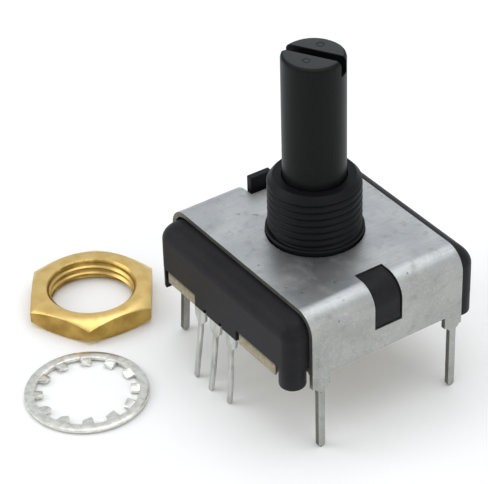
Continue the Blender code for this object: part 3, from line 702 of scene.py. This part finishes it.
def build_bracket():
    half_x, half_y = BRACKET_HIGH.x, BRACKET_HIGH.y
    bend = (half_x - BEND_OUTER, PANEL_Z - BEND_OUTER)
    steps = 16
    outside = arc(bend, BEND_OUTER, 0, 90, steps)
    inside = arc(bend, BEND_OUTER - SHEET, 0, 90, steps)
    right = [(half_x, 0), *outside]
    under = [(half_x - SHEET, 0), *inside]
    section = right + [(-x, z) for x, z in reversed(right)] + [(-x, z) for x, z in under] + under[::-1]
    bracket = loose_object("bracket_strap", prism([(x, -half_y, z) for x, z in section], (0, 2 * half_y, 0)))

    combine(bracket, "UNION", *[bracket_leg(side, end) for side in (1, -1) for end in (1, -1)])
    cuts = [
        box((-half_x - OVER, -TAB_INNER_Y, -OVER), (half_x + OVER, TAB_INNER_Y, WALL_BOTTOM_Z)),
        cylinder(BUSHING_HOLE_R, PANEL_Z - 3 * SHEET, PANEL_Z + SHEET, steps=128),
    ]
    for side in (1, -1):
        low, high = sorted((side * WINDOW_TOP_X, side * (half_x + OVER)))
        cuts.append(box((low, -WINDOW_HALF_Y, WINDOW_SIDE_Z), (high, WINDOW_HALF_Y, PANEL_Z + OVER)))
    combine(bracket, "DIFFERENCE", *cuts)
    soften(bracket, SHEET_EDGE_R)
    for vert in bracket.data.vertices:
        if vert.co.x < 0 and vert.co.y < 0:
            vert.co.y -= BENT_LEG_LEAN * (max(-LEG_SHOULDER - vert.co.z, 0) / -GROUND_Z) ** LEAN_POWER
    shade(bracket)
    return finish_piece(bracket, "bracket_steel", "base", "bracket")


def moulded_body():
    """The slab of the housing, drawn up through round corners and in over its top edge."""
    bm = rounded_plate(HOUSING_HALF, HOUSING_CORNER_R, HOUSING_RIM_Z, HOUSING_TOP_Z - HOUSING_EDGE_R)
    steps = 12
    half = HOUSING_HALF
    top = max(bm.faces, key=lambda face: face.calc_center_median().z)
    for i in range(1, steps + 1):
        turn = math.pi / 2 * i / steps
        before = math.pi / 2 * (i - 1) / steps
        rise = HOUSING_EDGE_R * (math.sin(turn) - math.sin(before))
        next_half = HOUSING_HALF - HOUSING_EDGE_R * (1 - math.cos(turn))
        grown = bmesh.ops.extrude_face_region(bm, geom=[top])
        bmesh.ops.delete(bm, geom=[top], context="FACES_ONLY")
        verts = moved_verts(grown)
        top = next(item for item in grown["geom"] if isinstance(item, bmesh.types.BMFace))
        bmesh.ops.translate(bm, verts=verts, vec=(0, 0, rise))
        bmesh.ops.scale(bm, verts=verts, vec=(next_half / half, next_half / half, 1))
        half = next_half
    return bm


def threaded_bushing():
    """The thread runs out where the top is turned down to a plain cone."""
    bm = threaded_rod(THREAD_CREST_R, THREAD_ROOT_R, THREAD_PITCH, BUSHING_ROOT_Z, BUSHING_TOP_Z)
    for vert in bm.verts:
        limit = BUSHING_R_AT_TOP + max(BUSHING_TOP_Z - vert.co.z, 0) * BUSHING_CONE
        radius = vert.co.xy.length
        if radius > limit:
            vert.co.xy *= limit / radius
    return bm


def bushing_bead():
    """The neck that passes through the bracket, and the bead standing proud of it."""
    low, high = BUSHING_BEAD_Z
    lip = BUSHING_BEAD_LIP
    profile = [(0, BUSHING_ROOT_Z), (BUSHING_NECK_R, BUSHING_ROOT_Z)]
    profile += [(BUSHING_NECK_R, low), (BUSHING_BEAD_R - lip, low), (BUSHING_BEAD_R, low + lip)]
    profile += [(BUSHING_BEAD_R, high - lip), (BUSHING_BEAD_R - lip, high), (0, high)]
    return turned(profile, 128)


def corner_post(y):
    """A round post cut flat beside the terminal board."""
    post = cylinder(FOOT_R, 0, FOOT_ROOT_Z, (-FOOT_XY, y), CORNER_POST_EDGE_R, 48)
    trim(post, (CORNER_POST_X, 0, 0), (1, 0, 0))
    return post


def window_pad():
    """A pad on the housing's shoulder that nearly fills the right-hand window of the bracket."""
    bend = (BRACKET_HIGH.x - BEND_OUTER, PANEL_Z - BEND_OUTER)
    low_z = WINDOW_SIDE_Z + WINDOW_PAD_GAP
    section = [(BRACKET_HIGH.x - WINDOW_PAD_GAP, low_z), *arc(bend, BEND_OUTER - WINDOW_PAD_GAP, 0, 90, 24)]
    section += [(WINDOW_TOP_X + WINDOW_PAD_GAP, PANEL_Z - WINDOW_PAD_GAP)]
    section += [(WINDOW_TOP_X + WINDOW_PAD_GAP, bend[1]), (bend[0], low_z)]
    half = WINDOW_HALF_Y - WINDOW_PAD_GAP
    return prism([(x, -half, z) for x, z in section], (0, 2 * half, 0), WINDOW_PAD_EDGE_R)


def build_housing():
    housing = loose_object("housing_moulding", moulded_body())
    combine(housing, "DIFFERENCE", rounded_plate(CAVITY_HALF, CAVITY_CORNER_R, 0, ROOF_UNDERSIDE_Z))
    apron_low = (APRON_X[0], -HOUSING_HALF + APRON_INSET, APRON_BOTTOM_Z)
    apron_high = (APRON_X[1], APRON_BACK_Y, HOUSING_RIM_Z + OVER)
    feet = [cylinder(FOOT_R, 0, FOOT_ROOT_Z, (FOOT_XY, y), FOOT_EDGE_R, 48) for y in (-FOOT_XY, FOOT_XY)]
    posts = [corner_post(y) for y in (-FOOT_XY, FOOT_XY)]
    apron = box(apron_low, apron_high, APRON_EDGE_R)
    lug = box(LUG_LOW, LUG_HIGH, LUG_EDGE_R)
    combine(housing, "UNION", *feet, *posts, apron, lug, window_pad(), bushing_bead(), threaded_bushing())
    notches = []
    for x in terminal_gaps():
        low = (x - APRON_NOTCH_WIDTH / 2, apron_low[1] - OVER, 0)
        high = (x + APRON_NOTCH_WIDTH / 2, apron_high[1] + OVER / 2, APRON_BOTTOM_Z + APRON_NOTCH_HEIGHT)
        notches.append(box(low, high))
    bore = cylinder(BUSHING_BORE_R, ROOF_UNDERSIDE_Z - OVER, BUSHING_TOP_Z + OVER, steps=96)
    combine(housing, "DIFFERENCE", *notches, bore)
    shade(housing)
    return finish_piece(housing, "housing_plastic", "base", "housing")


def foot_notch(edge_y):
    """The board's outline round a right-hand foot, from the edge at -edge_y to the right-hand edge."""
    reach = math.degrees(math.asin((edge_y - FOOT_XY) / BOARD_FOOT_NOTCH_R))
    side = math.degrees(math.acos((BOARD_HALF - FOOT_XY) / BOARD_FOOT_NOTCH_R))
    return arc((FOOT_XY, -FOOT_XY), BOARD_FOOT_NOTCH_R, 180 + reach, side, 8)


def board_outline():
    """Notched round the housing's posts on the left, its feet on the right and the apron in front."""
    notch_x, notch_y = BOARD_NOTCH
    front_y = BOARD_LOW.y
    apron_left, apron_right = APRON_X[0] - BOARD_APRON_GAP, APRON_X[1] + BOARD_APRON_GAP
    return [
        (-BOARD_HALF, notch_y),
        (-BOARD_HALF, -notch_y),
        (notch_x, -notch_y),
        (notch_x, front_y),
        (apron_left, front_y),
        (apron_left, -BOARD_HALF),
        (apron_right, -BOARD_HALF),
        (apron_right, front_y),
        *foot_notch(-front_y),
        *[(x, -y) for x, y in reversed(foot_notch(BOARD_HALF))],
        (notch_x, BOARD_HALF),
        (notch_x, notch_y),
    ]


def rivet_hole(terminal, z_low, z_high):
    """A cutter for the hole that a terminal's rivet passes through."""
    rivet = sum(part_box(terminal.replace("terminal", "rivet")), Vector()) / 2
    return cylinder(RIVET_HOLE_R, z_low - OVER, z_high + OVER, (rivet.x, rivet.y), steps=32)


def build_board():
    """The punched board: its outer corners are round, and its edges are broken a little."""
    low, high = BOARD_LOW.z, BOARD_HIGH.z
    bm = prism([(x, y, low) for x, y in board_outline()], (0, 0, high - low))
    corner = math.radians(35)
    upright = [edge for edge in bm.edges if edge.verts[0].co.z != edge.verts[1].co.z]
    corners = [edge for edge in upright if edge.calc_face_angle(0) > corner]
    bmesh.ops.bevel(
        bm, geom=corners, offset=BOARD_CORNER_R, segments=6, profile=0.5, affect="EDGES", material=-1
    )
    board = loose_object("board_punching", bm)
    holes = [cylinder(PIVOT_HOLE_R, low - OVER, high + OVER)]
    holes += [rivet_hole(name, low, high) for name in TERMINAL_BENDS]
    combine(board, "DIFFERENCE", *holes)
    soften(board, BOARD_EDGE_R, sharper_than=50)
    shade(board)
    return finish_piece(board, "board_laminate", "base", "terminal_board")


def terminal_gaps():
    """The places midway between neighbouring terminals."""
    middles = [sum(corner.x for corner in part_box(name)) / 2 for name in TERMINAL_BENDS]
    return [(left + right) / 2 for left, right in zip(middles, middles[1:])]


def build_shaft():
    low, top = SHAFT_LOW.z, SHAFT_HIGH.z
    profile = [
        (0, low),
        (PIVOT_R - PIVOT_LEAD_IN, low),
        (PIVOT_R, low + PIVOT_LEAD_IN),
        (PIVOT_R, CLIP_GROOVE_Z[0]),
        (CLIP_GROOVE_R, CLIP_GROOVE_Z[0]),
        (CLIP_GROOVE_R, CLIP_GROOVE_Z[1]),
        (DRIVE_R, CLIP_GROOVE_Z[1]),
        (DRIVE_R, FLANGE_Z[0]),
        (FLANGE_R, FLANGE_Z[0]),
        (FLANGE_R, FLANGE_Z[1]),
        (SHAFT_R, FLANGE_Z[1]),
        (SHAFT_R, SEAL_GROOVE_Z[0]),
        (SEAL_GROOVE_R, SEAL_GROOVE_Z[0]),
        (SEAL_GROOVE_R, SEAL_GROOVE_Z[1]),
        (SHAFT_R, SEAL_GROOVE_Z[1]),
        *[(SHAFT_R - inset, top - drop) for inset, drop in SHAFT_END],
        (0, top),
    ]
    shaft = loose_object("shaft_moulding", turned(profile, 128))
    slot = box((-2 * SHAFT_R, -SLOT_WIDTH / 2, top - SLOT_DEPTH), (2 * SHAFT_R, SLOT_WIDTH / 2, top + OVER))
    bmesh.ops.rotate(slot, verts=slot.verts, matrix=Matrix.Rotation(SLOT_ANGLE, 3, "Z"))
    wide = 2 * DRIVE_R
    flat = box((-wide, DRIVE_FLAT, CLIP_GROOVE_Z[1]), (wide, wide, FLANGE_Z[0]))
    inner, outer = GATE_MARK_R
    floor_z = top - GATE_MARK_DEEP
    mark = [(inner, floor_z), (outer, floor_z), (outer, top + OVER), (inner, top + OVER)]
    marks = []
    for side in (1, -1):
        across = Matrix.Rotation(SLOT_ANGLE, 3, "Z") @ Vector((0, side * GATE_MARK_OUT, 0))
        marks.append(turned(mark, 32, across))
    combine(shaft, "DIFFERENCE", slot, flat, *marks)
    soften(shaft, SHAFT_EDGE_R, sharper_than=50)
    shade(shaft)
    return finish_piece(shaft, "shaft_plastic", "rotor", "shaft")


def build_terminal(name, lean_x, lean_y, wave):
    """A tab riveted under the board, bent down into a shouldered blade that leans out a little."""
    low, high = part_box(name)
    middle = (low.x + high.x) / 2
    half = (high.x - low.x) / 2
    tip = TERMINAL_TIP_HALF
    wide_z, narrow_z = TERMINAL_SHOULDER_Z
    outline = blade_outline([(half, high.z), (TERMINAL_SHOULDER * half, wide_z), (tip, narrow_z)], tip)
    blade = prism([(middle + x, low.y, z) for x, z in outline], (0, TERMINAL_SHEET, 0))
    slice_level(blade)
    terminal = loose_object(name + "_stamping", blade)
    tab_z = high.z - TERMINAL_SHEET
    tab = box((middle - half, low.y + TERMINAL_TAB_INSET, tab_z), (middle + half, high.y, high.z))
    combine(terminal, "UNION", tab)
    combine(terminal, "DIFFERENCE", rivet_hole(name, high.z, high.z))
    soften(terminal, TERMINAL_EDGE_R, sharper_than=40)
    lean(terminal.data, tab_z, lean_x, lean_y, wave)
    shade(terminal)
    return finish_piece(terminal, "terminal_tin", "base", name)


def build_nut():
    low, high = NUT_LOW.z, NUT_HIGH.z
    corner = NUT_ACROSS_FLATS / math.sqrt(3)
    bm = bmesh.new()
    bmesh.ops.create_cone(
        bm,
        cap_ends=True,
        segments=6,
        radius1=corner,
        radius2=corner,
        depth=high - low,
        matrix=Matrix.Translation(NUT_CENTRE) @ Matrix.Rotation(NUT_TURN - math.pi / 2, 4, "Z"),
    )
    nut = loose_object("nut_turned", bm)
    face_r = NUT_ACROSS_FLATS / 2 - NUT_FACE_INSET
    wide_r = corner + NUT_BARREL_OUT
    rise = (wide_r - face_r) * math.tan(NUT_CHAMFER)
    barrel = [(0, low), (face_r, low), (wide_r, low + rise), (wide_r, high - rise), (face_r, high), (0, high)]
    combine(nut, "INTERSECT", turned(barrel, 144, NUT_CENTRE))
    thread = threaded_rod(NUT_MAJOR_R, NUT_MINOR_R, THREAD_PITCH, low - OVER, high + OVER)
    bmesh.ops.translate(thread, verts=thread.verts, vec=(NUT_CENTRE.x, NUT_CENTRE.y, 0))
    sink_low, sink_high = high - NUT_SINK, high + OVER / 2
    narrow, wide = NUT_MOUTH_R - NUT_SINK, NUT_MOUTH_R + OVER / 2
    sink = [(0, sink_low), (narrow, sink_low), (wide, sink_high), (0, sink_high)]
    sink_under = [(radius, low + high - z) for radius, z in sink]
    combine(nut, "DIFFERENCE", thread, turned(sink, 96, NUT_CENTRE), turned(sink_under, 96, NUT_CENTRE))
    soften(nut, NUT_EDGE_R, sharper_than=40)
    shade(nut)
    return finish_piece(nut, "nut_brass", "nut", "mounting_nut")


def build_washer():
    """A ring with twelve inward teeth, each twisted out of its plane, which it rests on."""
    half_tooth = WASHER_TOOTH_WIDTH / 2
    half_sheet = WASHER_SHEET / 2
    tip_half = half_tooth * (1 - WASHER_TOOTH_TAPER)
    middle_z = GROUND_Z + tip_half * math.sin(WASHER_TWIST) + half_sheet * math.cos(WASHER_TWIST)
    low, high = middle_z - half_sheet, middle_z + half_sheet
    inner = WASHER_R - WASHER_BAND
    ring = turned([(inner, low), (WASHER_R, low), (WASHER_R, high), (inner, high)], 144, WASHER_CENTRE)
    round_edges(ring, WASHER_EDGE_R, 2, 60)
    washer = loose_object("washer_stamping", ring)
    teeth = []
    for tooth in range(WASHER_TEETH):
        turn = math.tau * tooth / WASHER_TEETH
        tip = (inner - WASHER_TOOTH, -half_tooth, -half_sheet)
        root = (inner + WASHER_BAND / 3, half_tooth, half_sheet)
        bm = box(tip, root, WASHER_TOOTH_EDGE_R, 2)
        for vert in bm.verts:
            reach = min(max((inner - vert.co.x) / WASHER_TOOTH, 0), 1)
            angle = WASHER_TWIST * reach
            across, up = vert.co.y * (1 - WASHER_TOOTH_TAPER * reach), vert.co.z
            vert.co.y = across * math.cos(angle) - up * math.sin(angle)
            vert.co.z = across * math.sin(angle) + up * math.cos(angle)
        place = Matrix.Translation((WASHER_CENTRE.x, WASHER_CENTRE.y, middle_z))
        bmesh.ops.transform(bm, verts=bm.verts, matrix=place @ Matrix.Rotation(turn, 4, "Z"))
        teeth.append(bm)
    combine(washer, "UNION", *teeth)
    shade(washer)
    return finish_piece(washer, "washer_steel", "washer", "lock_washer")


def dress_cad_nodes():
    """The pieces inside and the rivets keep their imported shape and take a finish."""
    for name, obj in frame["nodes"].items():
        if obj.hide_render:
            continue
        obj.data.materials.clear()
        obj.data.materials.append(FINISHES[NODE_SLOTS[name]])


# ---------------------------------------------------------------- camera, floor and light


CAMERA_AZIMUTH = 56.43
CAMERA_ELEVATION = 35.32
CAMERA_ROLL = -1.78
CAMERA_PLACE = (0.14149, -0.10192, 0.13008)
CAMERA_LENS = 167.6
FLOOR_HALF = 1.5
FLOOR_GAP = 0.02 * MM


def add_camera():
    camera = bpy.data.cameras.new("camera")
    camera.lens = CAMERA_LENS
    camera.sensor_width = 36
    camera.clip_start = 0.005
    obj = bpy.data.objects.new("camera", camera)
    bpy.context.scene.collection.objects.link(obj)
    turn = Matrix.Rotation(math.radians(CAMERA_AZIMUTH), 4, "Z")
    tilt = Matrix.Rotation(math.radians(90 - CAMERA_ELEVATION), 4, "X")
    roll = Matrix.Rotation(math.radians(CAMERA_ROLL), 4, "Z")
    obj.matrix_world = Matrix.Translation(CAMERA_PLACE) @ turn @ tilt @ roll
    bpy.context.scene.camera = obj


def add_floor():
    bm = bmesh.new()
    place = Matrix.Translation((0, 0, GROUND_Z - FLOOR_GAP))
    bmesh.ops.create_grid(bm, x_segments=1, y_segments=1, size=FLOOR_HALF, matrix=place)
    floor = loose_object("floor", bm)
    finish = Finish("floor_paper", {"Roughness": 0.9})
    paper = finish.noise(4 * MM, detail=2.0)
    floor.data.materials.append(finish.paint(finish.mix(paper, (0.90, 0.90, 0.89), (0.92, 0.92, 0.91))))


def add_light(name, place, size, power, aim=(0, 0, 0)):
    light = bpy.data.lights.new(name, "AREA")
    light.shape = "RECTANGLE"
    light.size, light.size_y = size
    light.energy = power
    obj = bpy.data.objects.new(name, light)
    bpy.context.scene.collection.objects.link(obj)
    direction = Vector(aim) - Vector(place)
    obj.matrix_world = Matrix.Translation(place) @ direction.to_track_quat("-Z", "Y").to_matrix().to_4x4()


def add_lights():
    add_light("overhead", (0.0, 0.05, 0.45), (0.5, 0.4), 0.85)
    add_light("left_front", (-0.25, -0.40, 0.30), (0.35, 0.35), 0.75)
    add_light("right_side", (0.45, 0.05, 0.20), (0.35, 0.25), 0.3)
    world = bpy.data.worlds.new("studio")
    bpy.context.scene.world = world
    world.use_nodes = True
    background = world.node_tree.nodes["Background"]
    background.inputs["Color"].default_value = (0.93, 0.96, 1.0, 1.0)
    background.inputs["Strength"].default_value = 0.76


add_camera()
add_floor()
add_lights()
bpy.context.scene.view_settings.view_transform = "Standard"
build_bracket()
build_housing()
build_shaft()
build_board()
for name, bend in TERMINAL_BENDS.items():
    build_terminal(name, *bend)
build_nut()
build_washer()
dress_cad_nodes()
